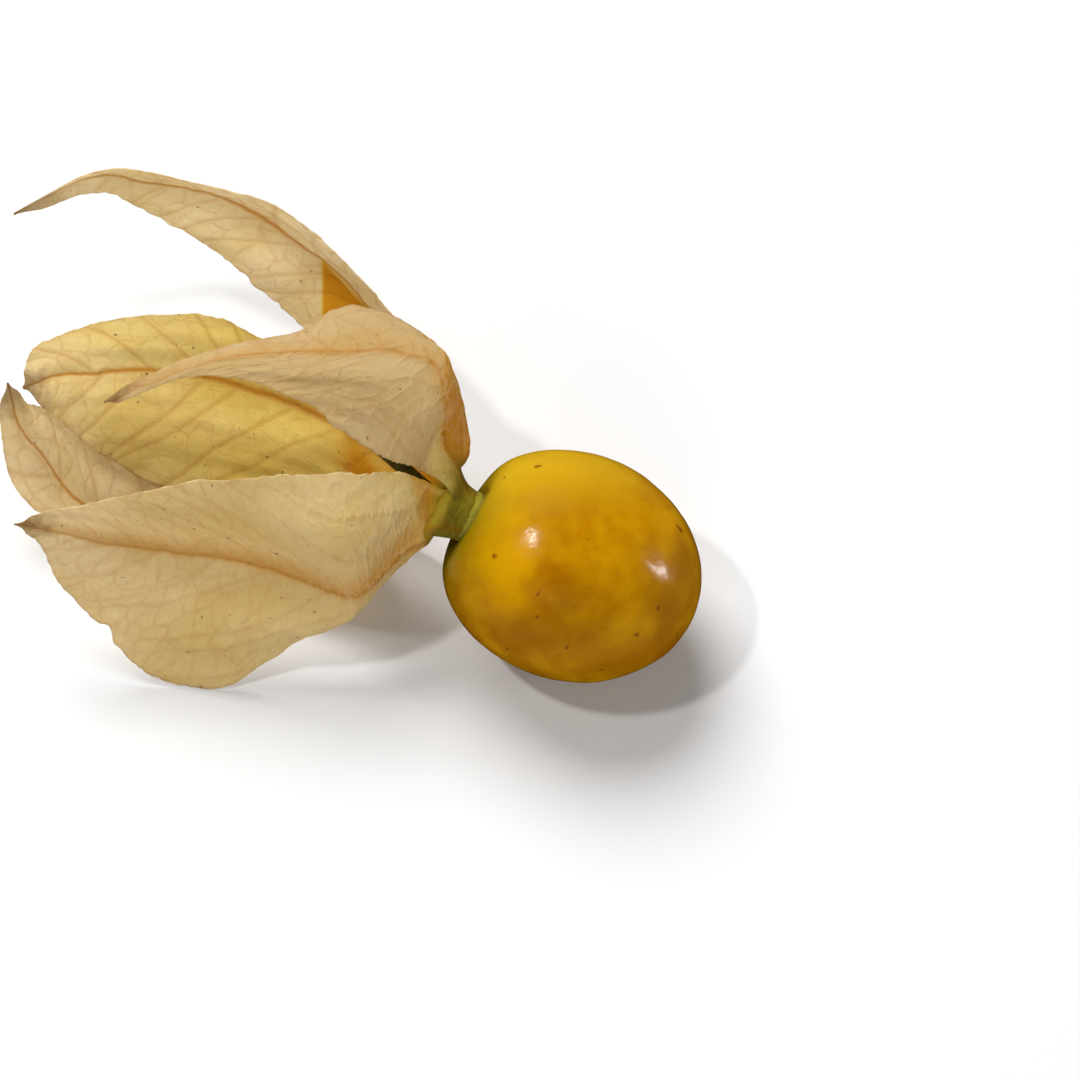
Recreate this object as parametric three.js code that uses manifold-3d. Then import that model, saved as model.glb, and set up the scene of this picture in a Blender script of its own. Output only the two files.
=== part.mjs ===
// A physalis (cape gooseberry): the ripe berry, with its papery husk torn open and folded back
// over the stem, lying on a table. Millimetres, +Z up.
// The points are first placed with the table at z = 0 and the berry's contact point at x = y = 0,
// and the finished group is then moved so that the middle of its base is the origin.
import * as THREE from 'three';
import { mergeVertices } from 'three/addons/utils/BufferGeometryUtils.js';
import Module from 'manifold-3d';

const wasm = await Module();
wasm.setup();

// ---- driving dimensions (mm, degrees) ----
const BERRY_LENGTH = 21;
const BERRY_WIDTH = 17.9;
const BERRY_HEIGHT = 9.0; // centre above the table: the skin is flattened a little where it lies
const BERRY_TURN = 167; // the berry's long axis: heading from +X
const BERRY_LIFT = 16; // and rise from level
const DIMPLE_DEPTH = 2.2; // the hollow that the neck sits in
const DIMPLE_RADIUS = 3.4;
const BERRY_SEGMENTS = 48;
const BERRY_RINGS = 30;
const TABLE_SIZE = 40; // the block that takes the flat off the berry's underside
const TABLE_DEPTH = 10;

const NECK_TURN = 161; // the stem's axis, from the berry's centre out through the neck
const NECK_LIFT = 21;
const COLLAR_AT = 7.3; // distances along that axis from the berry's centre
const WAIST_AT = 8.9;
const CUP_AT = 10.1;
const RIM_AT = 10.75;
const COLLAR_RADIUS = 2.3;
const WAIST_RADIUS = 1.9;
const RIM_RADIUS = 2.55;
const CUP_RADIUS = 1.9;
const CUP_FLOOR_RADIUS = 1.3;
const CUP_DEPTH = 0.2; // how much deeper the cup is at its middle
const RIM_LIP = 0.1;
const COLLAR_ROOT = 1.5; // how far the collar goes in before it is cut to the berry's skin
const COLLAR_HEIGHT = 0.5;
const COLLAR_STEP = 0.4; // the length over which the collar narrows
const WAIST_SWELL = 0.15; // the waist is this much wider just past the collar
const FLARE_SWELL = 0.25; // and this much wider where the flare starts
const NECK_SEGMENTS = 24;

const STEM_RADIUS = 0.6;
const STEM_STEPS = 14;
const STEM_SIDES = 10;

const SHEET = 0.3; // husk thickness
const GAP = 0.3; // clearance between touching pieces
const HUSK_AT = 11.2; // where the sepals leave the neck
const HUSK_RADIUS = 2.9;
const LENGTH_CELLS = 22;

const WELD = 1e-4; // corners nearer than this are one corner

// ---- small helpers ----
const at = (x, y, z) => new THREE.Vector3(x, y, z);
const radians = THREE.MathUtils.degToRad;

function heading(turn, lift) {
  const level = Math.cos(radians(lift));
  const along = at(Math.cos(radians(turn)), Math.sin(radians(turn)), 0);
  return along.multiplyScalar(level).setZ(Math.sin(radians(lift)));
}

const berryCentre = at(0, 0, BERRY_HEIGHT);
const berryAxis = heading(BERRY_TURN, BERRY_LIFT);
const neckAxis = heading(NECK_TURN, NECK_LIFT);

// A frame whose Y is the neck's axis, for shapes turned about it; its Z is as near straight up
// as it can be.
const neckUp = at(0, 0, 1).addScaledVector(neckAxis, -neckAxis.z).normalize();
const neckSide = new THREE.Vector3().crossVectors(neckAxis, neckUp);
const neckFrame = new THREE.Matrix4()
  .makeBasis(neckSide, neckAxis, neckUp)
  .setPosition(berryCentre);

function toSolid(geometry) {
  const plain = geometry.clone();
  plain.deleteAttribute('normal');
  plain.deleteAttribute('uv');
  const merged = mergeVertices(plain, WELD);
  const vertProperties = new Float32Array(merged.attributes.position.array);
  const triVerts = new Uint32Array(merged.index.array);
  return new wasm.Manifold(new wasm.Mesh({ numProp: 3, vertProperties, triVerts }));
}

function toGeometry(solid) {
  const { vertProperties, triVerts } = solid.getMesh();
  const geometry = new THREE.BufferGeometry();
  geometry.setAttribute('position', new THREE.BufferAttribute(vertProperties, 3));
  geometry.setIndex(new THREE.BufferAttribute(triVerts, 1));
  geometry.computeVertexNormals();
  return geometry;
}

// ---- berry ----
// A slightly long spheroid with a soft hollow round the neck; grow moves its skin outwards.
function berryBody(grow) {
  const geometry = new THREE.SphereGeometry(1, BERRY_SEGMENTS, BERRY_RINGS);
  const across = BERRY_WIDTH / 2 + grow;
  const along = BERRY_LENGTH / 2 + grow;
  geometry.scale(across, along, across);
  const turn = new THREE.Quaternion().setFromUnitVectors(at(0, 1, 0), berryAxis);
  geometry.applyQuaternion(turn);
  const position = geometry.attributes.position;
  for (let i = 0; i < position.count; i += 1) {
    const point = new THREE.Vector3().fromBufferAttribute(position, i);
    const reach = point.dot(neckAxis);
    if (reach > 0) {
      const aside = point.clone().addScaledVector(neckAxis, -reach).length();
      const sink = DIMPLE_DEPTH * Math.exp(-((aside / DIMPLE_RADIUS) ** 2));
      point.addScaledVector(neckAxis, -sink);
    }
    position.setXYZ(i, point.x, point.y, point.z);
  }
  geometry.translate(berryCentre.x, berryCentre.y, berryCentre.z);
  return geometry;
}

function berryGeometry() {
  const table = new THREE.BoxGeometry(TABLE_SIZE, TABLE_SIZE, TABLE_DEPTH);
  table.translate(0, 0, -TABLE_DEPTH / 2);
  return toGeometry(toSolid(berryBody(0)).subtract(toSolid(table)));
}

// ---- neck ----
// The green collar on the berry, its waist, and the flare that the husk's sepals grow from.
// The far end is a shallow cup, with the stem standing in it.
function neckGeometry() {
  const profile = [
    [0, COLLAR_AT - COLLAR_ROOT],
    [COLLAR_RADIUS, COLLAR_AT - COLLAR_ROOT],
    [COLLAR_RADIUS, COLLAR_AT + COLLAR_HEIGHT],
    [WAIST_RADIUS + WAIST_SWELL, COLLAR_AT + COLLAR_HEIGHT + COLLAR_STEP],
    [WAIST_RADIUS, WAIST_AT],
    [WAIST_RADIUS + FLARE_SWELL, CUP_AT],
    [RIM_RADIUS, RIM_AT],
    [CUP_RADIUS, RIM_AT - RIM_LIP],
    [CUP_FLOOR_RADIUS, CUP_AT],
    [0, CUP_AT - CUP_DEPTH],
  ];
  const points = profile.map(([radius, along]) => new THREE.Vector2(radius, along));
  const lathe = new THREE.LatheGeometry(points, NECK_SEGMENTS).applyMatrix4(neckFrame);
  return toGeometry(toSolid(lathe).subtract(toSolid(berryBody(GAP))));
}

// ---- stem ----
const STEM_PATH = [
  at(-11, 3.7, 14.3),
  at(-13.2, 5.3, 15.6),
  at(-15.2, 6.9, 16.5),
  at(-17.6, 9.4, 17.3),
];

function stemGeometry() {
  const foot = berryCentre.clone().addScaledVector(neckAxis, CUP_AT + GAP);
  const path = new THREE.CatmullRomCurve3([foot, ...STEM_PATH], false, 'catmullrom', 0.5);
  const section = new THREE.Shape().absarc(0, 0, STEM_RADIUS, 0, 2 * Math.PI);
  return new THREE.ExtrudeGeometry(section, {
    steps: STEM_STEPS,
    curveSegments: STEM_SIDES,
    extrudePath: path,
    bevelEnabled: false,
  });
}

// ---- husk ----
// Each sepal is a thin sheet hung on rails that run from the neck to its tip: an edge, one or
// more folds or ribs, and the other edge. A rail starts on the circle where the husk leaves the
// neck, and `foot` is its angle there in degrees, from straight up round by the back. `cells` are
// the steps from the rail before, and `belly` is how far the sheet swells between them, as a
// share of their distance.
const SEPAL_RAILS = {
  // folded over towards the front, hiding the stem
  sepal_top: [
    { foot: -4, points: [
      [-11, 4, 16.4], [-13, 4, 18], [-16.5, 5, 20], [-19.5, 6.5, 21.5], [-23, 8, 22.5],
      [-26.5, 8.8, 22.5], [-30, 9.2, 21.7], [-33, 8.7, 20.5], [-35.6, 8.2, 19.3],
    ] },
    { foot: 30, cells: 5, belly: 0.08, points: [
      [-10, 6, 18], [-10, 8, 20.5], [-10.5, 10.5, 22], [-14, 11, 23], [-18.5, 10.5, 23.4],
      [-22.5, 10.4, 23.2], [-27.5, 10.3, 22.4], [-32, 9.5, 21], [-35.8, 8.5, 19.5],
    ] },
    { foot: 62, cells: 5, belly: 0.06, points: [
      [-8, 7, 15.2], [-8.5, 10, 17.5], [-10, 13, 19.5], [-13.5, 15, 21], [-17.5, 15.5, 22],
      [-21, 13.2, 22.4], [-26.5, 11.8, 22.4], [-32, 10.2, 21.2], [-35.6, 8.9, 19.6],
    ] },
  ],
  // the long one that arches up and back, with a pleat along its middle
  sepal_back: [
    { foot: 116, points: [
      [-9.5, 9, 11], [-11.5, 13, 11.5], [-15.5, 16.5, 12.5], [-20.5, 19, 13.5],
      [-24.5, 21.5, 15.5], [-29, 24.5, 17], [-33, 27, 17.8], [-37.5, 29.1, 18.2],
      [-44.5, 28, 15.8],
    ] },
    { foot: 105, cells: 3, belly: 0.1, points: [
      [-9, 8.5, 11.8], [-10.5, 12.5, 12.8], [-13.5, 16.5, 13.8], [-18, 20, 15],
      [-21.5, 23, 17], [-27.3, 25.9, 18.6], [-32.2, 27.8, 18.9], [-37.4, 29.4, 18.9],
      [-44.5, 28.2, 16],
    ] },
    { foot: 94, cells: 2, belly: 0, points: [
      [-8.7, 8.3, 12.6], [-9.6, 12, 13.8], [-12, 16, 14.4], [-16, 20, 15],
      [-20.2, 23.5, 17.4], [-26, 26.8, 19.2], [-31.4, 28.3, 19.6], [-37.3, 29.6, 19.5],
      [-44.5, 28.3, 16.2],
    ] },
    { foot: 84, cells: 2, belly: 0, points: [
      [-8.4, 8, 13.3], [-9, 11.5, 14.8], [-11, 15.3, 16], [-14.7, 19, 16.8],
      [-19.5, 22.8, 18.6], [-25, 26.5, 20.1], [-30.9, 28.4, 20.4], [-37.2, 29.7, 20],
      [-44.4, 28.3, 16.4],
    ] },
    { foot: 70, cells: 4, belly: 0.08, points: [
      [-8, 7.5, 14], [-8.5, 10.5, 16], [-10, 14.5, 17.8], [-13.5, 16.8, 18.5],
      [-17.2, 20.5, 19.8], [-22.5, 25.2, 21.2], [-30.2, 28, 21.1], [-37, 29.6, 20.5],
      [-44.3, 28.2, 16.6],
    ] },
  ],
  // the far wall of the open husk
  sepal_far: [
    { foot: 124, points: [
      [-10.5, 9, 10], [-12.8, 12.5, 10], [-17.5, 17, 10.3], [-24, 20, 10.5], [-28.5, 22, 11],
      [-34, 22, 11], [-39.3, 20.8, 11.2], [-42.8, 18.7, 11.2], [-43.8, 15.9, 10.6],
    ] },
    { foot: 148, cells: 5, belly: -0.08, points: [
      [-11.5, 7, 9], [-14, 10.5, 7.5], [-18.3, 14.4, 7.2], [-24, 17.2, 7.2], [-29.4, 18.2, 7.8],
      [-34, 18.2, 8.6], [-38, 17.7, 9.5], [-41, 17, 10.1], [-43.6, 15.6, 10.3],
    ] },
    { foot: 172, cells: 5, belly: -0.1, points: [
      [-11.6, 6, 7.7], [-13.7, 7.7, 5.6], [-18, 9, 3.7], [-23.5, 10, 2.7], [-29, 10.3, 2.7],
      [-34, 11, 3.6], [-38, 12.4, 5.8], [-40.7, 14.2, 7.8], [-43.3, 15.2, 9.7],
    ] },
  ],
  // lies on the table and curls up at its tip
  sepal_left: [
    { foot: 180, points: [
      [-12.1, 3.9, 7.3], [-14.6, 6.6, 4.3], [-18.2, 9.3, 2.9], [-23.5, 10.5, 2.1],
      [-29, 11.3, 2.1], [-34, 12.4, 3.3], [-38.2, 13.7, 5.5], [-40.9, 15.1, 7.4],
      [-43.3, 15, 9.2], [-44.3, 14.9, 12.3],
    ] },
    { foot: 208, cells: 5, belly: -0.08, points: [
      [-12.1, 2.6, 8], [-14.6, 3.6, 4.7], [-19.5, 5, 1.6], [-25, 6, 0.2], [-31.5, 7, 0.2],
      [-36.5, 8, 1.5], [-40, 9.2, 3.5], [-42, 11, 6.3], [-43.7, 13, 9.5], [-44.5, 14.7, 12.5],
    ] },
    { foot: 240, cells: 5, belly: -0.08, points: [
      [-11.7, 1.2, 9.7], [-13.9, 1.0, 6.9], [-17.5, 0.5, 3.6], [-22.5, 1, 1.4],
      [-28, 2, 0.4], [-34.5, 4, 0.8], [-40.5, 6.5, 3], [-44.3, 8.8, 5.8], [-45.4, 12.2, 9.5],
      [-44.9, 14.4, 12.4],
    ] },
  ],
  // the near wall, creased along its rib and standing on its lower edge
  sepal_front: [
    { foot: -110, points: [
      [-11.8, 0.7, 11.4], [-13, -0.4, 9.6], [-16, -1.2, 7.2], [-19.5, -3, 4.8],
      [-24, -4.7, 2.1], [-28, -6, 0.1], [-33.5, -5, 0.7], [-36.6, -3, 3.4], [-39, -0.5, 6.5],
      [-41.3, 1.6, 9.3], [-43.2, 2.3, 11],
    ] },
    { foot: -98, cells: 5, belly: 0.14, points: [
      [-11.5, 0.5, 12.6], [-13, -0.1, 12.1], [-14.8, -1.5, 11.1], [-16.8, -2.9, 9.7],
      [-20.2, -1.6, 9.1], [-23.7, -0.1, 8.9], [-27.6, 1, 9], [-31.5, 1.5, 9.3],
      [-35.5, 2, 9.9], [-39.5, 2.3, 10.5], [-43.3, 2.5, 11.2],
    ] },
    { foot: -12, cells: 5, belly: 0.1, points: [
      [-10.8, 3.5, 15.9], [-12.8, 3.5, 17.3], [-15.6, 3.3, 18.1], [-19.2, 3, 18.1],
      [-22.7, 2.7, 18], [-26, 2.9, 17.4], [-30, 3, 16.4], [-33.5, 3, 15.2],
      [-37, 3, 13.9], [-40, 2.9, 12.6], [-43.2, 2.7, 11.4],
    ] },
  ],
};

// A point on the circle where the husk leaves the neck, turned from straight up towards the back.
function huskFoot(degrees) {
  const angle = radians(degrees);
  return berryCentre.clone()
    .addScaledVector(neckAxis, HUSK_AT)
    .addScaledVector(neckUp, HUSK_RADIUS * Math.cos(angle))
    .addScaledVector(neckSide, HUSK_RADIUS * Math.sin(angle));
}

// The sheet's middle surface: rows along the rails, each a smooth curve across them, with the
// swelling of each panel added.
function sepalGrid(rails) {
  const smooth = (points) => new THREE.CatmullRomCurve3(points, false, 'catmullrom', 0.5);
  const curves = rails.map(({ foot, points }) => (
    smooth([huskFoot(foot), ...points.map(([x, y, z]) => at(x, y, z))])
  ));
  const panels = rails.length - 1;
  const grid = [];
  for (let i = 0; i <= LENGTH_CELLS; i += 1) {
    const knots = curves.map((curve) => curve.getPoint(i / LENGTH_CELLS));
    const line = smooth(knots);
    const row = [{ point: knots[0], swell: 0 }];
    for (let k = 1; k <= panels; k += 1) {
      const { cells, belly } = rails[k];
      const width = knots[k].distanceTo(knots[k - 1]);
      for (let step = 1; step <= cells; step += 1) {
        const w = step / cells;
        const point = line.getPoint((k - 1 + w) / panels);
        row.push({ point, swell: belly * width * Math.sin(Math.PI * w) ** 2 });
      }
    }
    grid.push(row);
  }
  const flat = grid.map((row) => row.map(({ point }) => point));
  return offsetGrid(flat, (i, j) => grid[i][j].swell * Math.sin((Math.PI * i) / LENGTH_CELLS));
}

function gridNormals(grid) {
  const rows = grid.length - 1;
  const columns = grid[0].length - 1;
  return grid.map((row, i) => row.map((_, j) => {
    const along = grid[Math.min(i + 1, rows)][j].clone().sub(grid[Math.max(i - 1, 0)][j]);
    const across = row[Math.min(j + 1, columns)].clone().sub(row[Math.max(j - 1, 0)]);
    return across.cross(along).normalize();
  }));
}

// Moves every point of a grid along its normal by amount(row, column).
function offsetGrid(grid, amount) {
  const normals = gridNormals(grid);
  return grid.map((row, i) => row.map((point, j) => (
    point.clone().addScaledVector(normals[i][j], amount(i, j))
  )));
}

// Nothing goes through the table: what would, lies on it.
function restOnTable(grid, lowest) {
  grid.flat().forEach((point) => point.setZ(Math.max(point.z, lowest)));
  return grid;
}

// Closes the space between two grids of the same size into one thin solid.
function sheetSolid(front, back) {
  const columns = front[0].length;
  const last = front.length - 1;
  const cells = columns - 1;
  const positions = [...front.flat(), ...back.flat()].flatMap((point) => point.toArray());
  const offset = front.length * columns;
  const index = [];
  const quad = (a, b, c, d) => index.push(a, b, c, a, c, d);
  const id = (i, j) => i * columns + j;
  for (let i = 0; i < last; i += 1) {
    for (let j = 0; j < cells; j += 1) {
      const corners = [id(i, j), id(i, j + 1), id(i + 1, j + 1), id(i + 1, j)];
      const [a, b, c, d] = corners;
      quad(a, b, c, d);
      index.push(a + offset, c + offset, b + offset, a + offset, d + offset, c + offset);
    }
  }
  const wall = (a, b) => quad(b, a, a + offset, b + offset);
  for (let i = 0; i < last; i += 1) {
    wall(id(i + 1, 0), id(i, 0));
    wall(id(i, cells), id(i + 1, cells));
  }
  for (let j = 0; j < cells; j += 1) {
    wall(id(0, j), id(0, j + 1));
    wall(id(last, j + 1), id(last, j));
  }
  const geometry = new THREE.BufferGeometry();
  geometry.setAttribute('position', new THREE.Float32BufferAttribute(positions, 3));
  geometry.setIndex(index);
  geometry.computeVertexNormals();
  return geometry;
}

function sepalGeometry(rails) {
  const middle = restOnTable(sepalGrid(rails), SHEET / 2);
  const front = restOnTable(offsetGrid(middle, () => SHEET / 2), 0);
  const back = restOnTable(offsetGrid(middle, () => -SHEET / 2), 0);
  return sheetSolid(front, back);
}

// ---- materials and the scene ----
const skin = () => new THREE.MeshStandardMaterial({ color: 0xd08a10, roughness: 0.25 });
const green = () => new THREE.MeshStandardMaterial({ color: 0x7a6a12, roughness: 0.6 });
const stalk = () => new THREE.MeshStandardMaterial({ color: 0x4a4a10, roughness: 0.7 });
const papery = () => new THREE.MeshStandardMaterial({ color: 0xd0b078, roughness: 0.8 });

function piece(name, geometry, material) {
  const mesh = new THREE.Mesh(geometry, material);
  mesh.name = name;
  return mesh;
}

const physalis = new THREE.Group();
physalis.add(piece('berry', berryGeometry(), skin()));
physalis.add(piece('calyx_neck', neckGeometry(), green()));
physalis.add(piece('stem', stemGeometry(), stalk()));
Object.entries(SEPAL_RAILS).forEach(([name, rails]) => {
  physalis.add(piece(name, sepalGeometry(rails), papery()));
});

const box = new THREE.Box3().setFromObject(physalis);
const middle = box.getCenter(new THREE.Vector3());
physalis.position.set(-middle.x, -middle.y, -box.min.z);

export default physalis;
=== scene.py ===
"""A physalis berry with its papery husk folded back, lying on a pale table.

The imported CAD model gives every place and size. Shapes are worked out in millimetres and made
into meshes in metres.
"""

import math

import bmesh
import bpy
import numpy as np
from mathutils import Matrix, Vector, noise as blobs
from mathutils.bvhtree import BVHTree


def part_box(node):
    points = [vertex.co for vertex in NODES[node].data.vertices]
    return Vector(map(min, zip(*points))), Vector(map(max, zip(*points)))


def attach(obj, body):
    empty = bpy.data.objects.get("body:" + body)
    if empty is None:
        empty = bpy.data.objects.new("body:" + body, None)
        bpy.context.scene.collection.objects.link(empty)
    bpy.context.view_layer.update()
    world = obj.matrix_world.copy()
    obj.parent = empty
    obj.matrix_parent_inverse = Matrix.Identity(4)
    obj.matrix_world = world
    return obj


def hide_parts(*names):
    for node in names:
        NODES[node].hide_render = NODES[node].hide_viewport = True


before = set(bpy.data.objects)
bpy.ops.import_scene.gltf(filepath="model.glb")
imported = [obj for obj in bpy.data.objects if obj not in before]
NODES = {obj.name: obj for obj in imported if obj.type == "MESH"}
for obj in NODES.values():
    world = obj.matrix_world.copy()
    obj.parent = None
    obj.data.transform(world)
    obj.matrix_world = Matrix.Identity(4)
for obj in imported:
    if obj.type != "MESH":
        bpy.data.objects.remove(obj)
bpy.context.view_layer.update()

MM = 1000.0

# ---- the sheets, in mm ----
SHEET_THICKNESS = 0.12
ROWS = 296  # fine steps from the neck to the tip
COLUMNS = 128  # and across
CAD_THICKNESS = 0.3  # of a sheet in the CAD model
THICKNESS_SLACK = 0.0006
FOOT_OVERLAP = 0.04  # radians that two sheets overlap by at the neck
FOOT_END = 1.9  # how far below the neck's top a sheet's foot ends
FOOT_BEND = 0.7  # and where it bends out
FOOT_FLARE = 0.3
WAIST_RADIUS = 1.95

# Heights of what stands out of a sheet.
BUCKLES = 0.22
CREASES = 0.10
CRINKLE = 0.03
MIDRIB_HEIGHT = 0.09
SIDE_VEIN_HEIGHT = 0.05
COARSE_NET_HEIGHT = 0.035
FINE_NET_HEIGHT = 0.012
FRONT_FOLD_HEIGHT = 0.28

MIDRIB_WIDTH = 0.35
SIDE_VEIN_WIDTH = 0.22
FRONT_FOLD_WIDTH = 1.3
FINE_NET_SCALE = 2.6  # how much finer the fine net is than the coarse one

# What differs between the sepals: how golden the paper is, how strong the golden band along the
# fold is (partly painted shade in the crease), how broad the midrib is, how much painted shade
# darkens the paper, and how many cells of the net there are to a mm, along the sheet and across
# it.
EVEN_NET = (0.48, 0.48)
UPRIGHT_NET = (0.8, 0.34)
STYLES = {
    "sepal_top": dict(gold=0.15, fold=0.5, midrib=1.0, painted_shade=0.4, net=EVEN_NET),
    "sepal_back": dict(gold=0.02, fold=0.15, midrib=1.0, painted_shade=0.0, net=EVEN_NET),
    "sepal_far": dict(gold=0.9, fold=0.15, midrib=2.3, painted_shade=0.0, net=EVEN_NET),
    "sepal_left": dict(gold=0.05, fold=0.15, midrib=1.0, painted_shade=0.0, net=EVEN_NET),
    "sepal_front": dict(gold=0.42, fold=1.0, midrib=1.0, painted_shade=0.0, net=UPRIGHT_NET),
}
SEED_STEP = 11  # between one sepal's patterns and the next one's

# A bulge and a notch on the near sepal's lower edge: mm to the left of the berry's centre, reach
# along the edge, and how far the edge goes in.
FRONT_EDGE_MARKS = ((40.0, 1.5, -0.8), (36.9, 0.5, 0.7))

# The painted shade at the back sepal's foot, a deep gold patch in its pleat, in mm from the
# berry's centre
# as the camera sees it: it lies right of one line and below a sloping one, and each line fades
# over the two numbers.
PATCH_LEFT = (-20.0, -19.6)
PATCH_SLOPE = 0.94
PATCH_TOP = (3.5, 2.8)
PATCH_STRENGTH = 1.3

# ---- berry and stem, in mm ----
SMOOTHING_ROUNDS = 6
SMOOTHING_LOSS = 0.03  # that smoothing takes off the berry
LUMPS = (  # height, bumps to a mm, and where the pattern starts
    (0.10, 0.16, (0, 0, 0)), (0.05, 0.38, (7, 3, 1)), (0.022, 0.9, (1, 9, 4)),
)
# the side that the painted light on the berry comes from
PAINTED_LIGHT_SIDE = (-0.15, 0.8, 0.6)
STEM_RADIUS = 0.6
STEM_PARTS = 7  # places along the CAD stem whose middles give its path
STEM_ROOT = 1.4  # how far the stem goes down into the cup

# ---- stage, in metres, from the berry's centre ----
FLOOR_HALF = 1.5
VIEW_LIFT = math.radians(60)
VIEW_DISTANCE = 0.3
VIEW_AIM = (-0.0025, 0.0017, 0.0011)
LENS = 128.2
SKY = 0.15
LIGHTS = (  # name, place, size, watts, and whether it shows in reflections
    ("key", (-0.20, 0.42, 0.62), (0.56, 0.50), 8.5, False),
    ("lamp", (-0.29, -0.05, 0.62), (0.06, 0.035), 1.5, True),
    ("strip", (0.55, 0.0, 0.10), (0.022, 0.18), 0.9, True),
    ("fill", (-0.10, -0.60, 0.28), (0.6, 0.3), 2.0, False),
)


# ---- reading the CAD nodes ----
def corners_and_triangles(node):
    """A CAD node's corners in mm, each once, and its triangles as rows of corner numbers."""
    mesh = NODES[node].data
    mesh.calc_loop_triangles()
    points = np.empty(len(mesh.vertices) * 3)
    mesh.vertices.foreach_get("co", points)
    triangles = np.empty(len(mesh.loop_triangles) * 3, int)
    mesh.loop_triangles.foreach_get("vertices", triangles)
    rounded = np.round(points.reshape(-1, 3) * MM, 4)
    unique, number = np.unique(rounded, axis=0, return_inverse=True)
    return unique, number.reshape(-1)[triangles].reshape(-1, 3)


def edge_neighbours(triangles):
    """For each edge, as a sorted pair of corners, the triangles that share it."""
    shared = {}
    for t, corners in enumerate(triangles):
        for k in range(3):
            edge = tuple(sorted((int(corners[k]), int(corners[(k + 1) % 3]))))
            shared.setdefault(edge, []).append(t)
    return shared


def smooth_faces(points, triangles, shared):
    """A sheet's two faces: what is left once the triangles that cross its thickness are gone."""
    def crosses(t):
        sides = points[triangles[t]] - points[np.roll(triangles[t], 1)]
        return np.any(np.abs(np.linalg.norm(sides, axis=1) - CAD_THICKNESS) < THICKNESS_SLACK)

    group = [0 if crosses(t) else -1 for t in range(len(triangles))]
    groups = []
    for start in range(len(triangles)):
        if group[start] >= 0:
            continue
        group[start] = 1
        members = [start]
        for t in members:
            for k in range(3):
                edge = sorted((int(triangles[t][k]), int(triangles[t][(k + 1) % 3])))
                for other in shared[tuple(edge)]:
                    if group[other] < 0:
                        group[other] = 1
                        members.append(other)
        groups.append(members)
    groups.sort(key=len, reverse=True)
    return groups[:2]


def lattice(points, triangles, shared, members):
    """One face of a sheet as a grid of corners, rows along the sheet.

    The face is a grid whose cells are all split the same way, so the corner across an edge is the
    near one turned about the edge's middle. Which edge of the first triangle is the split is found
    by trying all three: only one fills a whole rectangle.
    """
    inside = set(members)
    for turn in range(3):
        first = np.roll(triangles[members[0]], turn)
        place = {int(first[0]): (0, 0), int(first[1]): (1, 0), int(first[2]): (1, 1)}
        queue = [members[0]]
        seen = {members[0]}
        for t in queue:
            for k in range(3):
                p, q = int(triangles[t][k]), int(triangles[t][(k + 1) % 3])
                near = int(triangles[t][(k + 2) % 3])
                for other in shared[tuple(sorted((p, q)))]:
                    if other in seen or other not in inside:
                        continue
                    seen.add(other)
                    queue.append(other)
                    far = int(sum(triangles[other])) - p - q
                    if far not in place:
                        place[far] = tuple(
                            place[p][m] + place[q][m] - place[near][m] for m in range(2)
                        )
        spots = np.array(list(place.values()))
        low = spots.min(0)
        shape = spots.max(0) - low + 1
        if len(place) == shape[0] * shape[1] and len(set(place.values())) == len(place):
            grid = np.empty((*shape, 3))
            for corner, spot in place.items():
                grid[tuple(np.array(spot) - low)] = points[corner]
            return grid if shape[0] > shape[1] else grid.transpose(1, 0, 2)
    raise ValueError("a sepal's face isn't a plain grid")


def middle_surface(node):
    """A sepal's middle surface as a grid, from the two faces of its CAD solid."""
    points, triangles = corners_and_triangles(node)
    shared = edge_neighbours(triangles)
    front, back = (
        lattice(points, triangles, shared, members)
        for members in smooth_faces(points, triangles, shared)
    )
    turned = [back[::i, ::j] for i in (1, -1) for j in (1, -1)]
    back = min(turned, key=lambda grid: np.abs(grid - front).sum())
    return (front + back) / 2


def node_centre(node):
    low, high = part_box(node)
    return np.array((low + high) / 2) * MM


def unit(vector):
    return vector / np.linalg.norm(vector)


berry_centre = node_centre("berry")
neck_points, _ = corners_and_triangles("calyx_neck")
neck_axis = unit(neck_points.mean(0) - berry_centre)


def along_neck(points):
    """How far points are from the berry's centre along the neck's axis, and from that axis."""
    offset = points - berry_centre
    along = offset @ neck_axis
    aside = offset - along[..., None] * neck_axis
    return along, np.linalg.norm(aside, axis=-1)


# ---- grids ----
def cubic(grid, count):
    """Resamples the first axis of a grid to count points, by a smooth curve through them all."""
    padded = np.concatenate([2 * grid[:1] - grid[1:2], grid, 2 * grid[-1:] - grid[-2:-1]])
    where = np.linspace(0, len(grid) - 1, count)
    k = np.minimum(where.astype(int), len(grid) - 2)
    t = (where - k).reshape(-1, *[1] * (grid.ndim - 1))
    a, b, c, d = (padded[k + m] for m in range(4))
    return 0.5 * (
        2 * b + (c - a) * t
        + (2 * a - 5 * b + 4 * c - d) * t ** 2
        + (3 * b - a - 3 * c + d) * t ** 3
    )


def refined(grid, rows, columns):
    fine = cubic(grid, rows)
    return cubic(fine.transpose(1, 0, 2), columns).transpose(1, 0, 2)


def grid_normals(grid):
    along = np.gradient(grid, axis=0)
    across = np.gradient(grid, axis=1)
    normals = np.cross(across, along)
    return normals / (np.linalg.norm(normals, axis=2, keepdims=True) + 1e-9)


def oriented(grid):
    """The grid with row 0 at the neck, and columns running round the neck's axis one way."""
    to_neck = [np.linalg.norm(grid[k].mean(0) - neck_points.mean(0)) for k in (0, -1)]
    grid = grid if to_neck[0] < to_neck[1] else grid[::-1]
    across = grid[0, -1] - grid[0, 0]
    outward = grid[0].mean(0) - berry_centre
    way = across @ np.cross(neck_axis, outward)
    return grid if way > 0 else grid[:, ::-1]


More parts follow.
